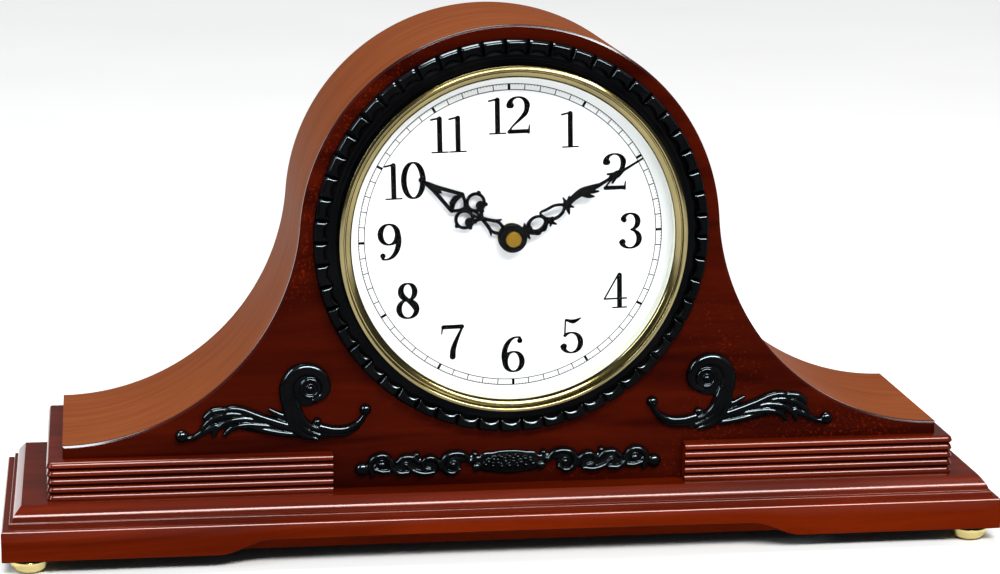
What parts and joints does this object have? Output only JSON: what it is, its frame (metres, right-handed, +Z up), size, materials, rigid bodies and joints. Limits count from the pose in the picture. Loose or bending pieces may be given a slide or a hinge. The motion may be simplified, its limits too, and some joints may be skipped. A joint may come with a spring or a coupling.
{
  "type": "mantel clock",
  "caption": "Tambour mantel clock with a bent-wood case on a moulded base, a black lobed ring and carved scrolls round a white dial, and a quartz chime movement.",
  "frame": {"origin": "on the surface the clock stands on, under the middle of its base", "axes": "+X along the base to the right as seen from the dial side, +Y towards the rear, +Z up; the dial faces -Y"},
  "size_m": [0.46, 0.1184, 0.2415],
  "materials": {
    "mahogany": "glossy lacquer",
    "roof_veneer": "satin lacquer",
    "back_wood": "matte stain",
    "plain_wood": "bare",
    "black_carving": "high gloss",
    "brass": "polished",
    "glass": "clear",
    "dial_white": "satin white enamel",
    "hand_black": "satin black",
    "movement_plastic": "fine texture",
    "train_plastic": "moulded",
    "gear_brass": "milled",
    "rotor_ferrite": "matte",
    "steel": "nickel plated",
    "copper_winding": "enamelled copper wire",
    "board_green": "solder mask",
    "cell_sleeve": "printed sleeve, no lettering",
    "selector_red": "moulded",
    "speaker_paper": "pressed pulp",
    "magnet_iron": "ferrite and plated iron",
    "lead_insulation": "soft PVC"
  },
  "bodies": {
    "case": {"base_board": "mahogany", "base_moulding_front": "mahogany", "base_moulding_back": "mahogany", "base_moulding_left": "mahogany", "base_moulding_right": "mahogany", "reeded_block_left": "mahogany", "reeded_block_right": "mahogany", "front_panel": "mahogany", "roof_band": "roof_veneer", "back_panel": "back_wood", "corner_battens": "plain_wood", "dial_board": "plain_wood", "dial_ring": "black_carving", "scroll_left": "black_carving", "scroll_right": "black_carving", "garland": "black_carving", "feet": "brass", "bezel": "brass", "fixing_nut": "brass", "fixing_washer": "brass", "hinge_case_leaves": "brass", "hinge_pins": "brass", "glass": "glass", "dial_plate": "dial_white", "movement_housing": "movement_plastic", "movement_cover": "movement_plastic", "train_plate_front": "train_plastic", "train_plate_rear": "train_plastic", "stator": "steel", "crystal": "steel", "battery_contacts": "steel", "dial_screws": "steel", "panel_screws": "steel", "speaker_frame": "steel", "coil": "copper_winding", "circuit_board": "board_green", "battery_upper": "cell_sleeve", "battery_lower": "cell_sleeve", "speaker_cone": "speaker_paper", "speaker_magnet": "magnet_iron", "catch_magnet": "magnet_iron", "speaker_leads": "lead_insulation"},
    "minute_hand": {"minute_hand": "hand_black", "hand_boss": "hand_black", "hand_cap": "brass", "centre_wheel": "gear_brass"},
    "hour_hand": {"hour_hand": "hand_black", "hour_wheel": "train_plastic"},
    "motion_wheel": {"minute_wheel": "gear_brass", "setting_knob": "movement_plastic"},
    "third_wheel": {"third_wheel": "gear_brass"},
    "second_wheel": {"second_wheel": "train_plastic"},
    "intermediate_wheel": {"intermediate_wheel": "train_plastic"},
    "rotor": {"rotor": "rotor_ferrite"},
    "chime_selector": {"chime_selector": "selector_red"},
    "volume_slider": {"volume_slider": "train_plastic"},
    "back_door": {"back_door": "back_wood", "door_knob": "brass", "hinge_door_leaves": "brass"}
  },
  "joints": [
    {"name": "minute_hand_turn", "type": "hinge", "parent": "case", "child": "minute_hand", "pos_m": [0, 0, 0.1458], "axis": [0, 1, 0], "continuous": true},
    {"name": "hour_hand_turn", "type": "hinge", "parent": "case", "child": "hour_hand", "pos_m": [0, 0, 0.1458], "axis": [0, 1, 0], "continuous": true},
    {"name": "motion_wheel_turn", "type": "hinge", "parent": "case", "child": "motion_wheel", "pos_m": [0.00771, 0, 0.13661], "axis": [0, 1, 0], "continuous": true},
    {"name": "third_wheel_turn", "type": "hinge", "parent": "case", "child": "third_wheel", "pos_m": [-0.00585, 0, 0.15416], "axis": [0, 1, 0], "continuous": true},
    {"name": "second_wheel_turn", "type": "hinge", "parent": "case", "child": "second_wheel", "pos_m": [0.00271, 0, 0.15815], "axis": [0, 1, 0], "continuous": true},
    {"name": "intermediate_wheel_turn", "type": "hinge", "parent": "case", "child": "intermediate_wheel", "pos_m": [0.01158, 0, 0.15659], "axis": [0, 1, 0], "continuous": true},
    {"name": "rotor_turn", "type": "hinge", "parent": "case", "child": "rotor", "pos_m": [0.01595, 0, 0.14901], "axis": [0, 1, 0], "continuous": true},
    {"name": "chime_selector_slide", "type": "slide", "parent": "case", "child": "chime_selector", "axis": [1, 0, 0], "range_m": [0, 0.01]},
    {"name": "volume_slide", "type": "slide", "parent": "case", "child": "volume_slider", "axis": [1, 0, 0], "range_m": [0, 0.01]},
    {"name": "back_door_hinge", "type": "hinge", "parent": "case", "child": "back_door", "pos_m": [0.058, 0.0499, 0.1458], "axis": [0, 0, -1], "range_deg": [0, 110]}
  ],
  "couplings": [
    {"joint": "hour_hand_turn", "follows": "minute_hand_turn", "ratio": 0.083333},
    {"joint": "motion_wheel_turn", "follows": "minute_hand_turn", "ratio": -0.33333},
    {"joint": "third_wheel_turn", "follows": "minute_hand_turn", "ratio": -7.5},
    {"joint": "second_wheel_turn", "follows": "minute_hand_turn", "ratio": 60},
    {"joint": "intermediate_wheel_turn", "follows": "minute_hand_turn", "ratio": -300},
    {"joint": "rotor_turn", "follows": "minute_hand_turn", "ratio": 1800}
  ]
}
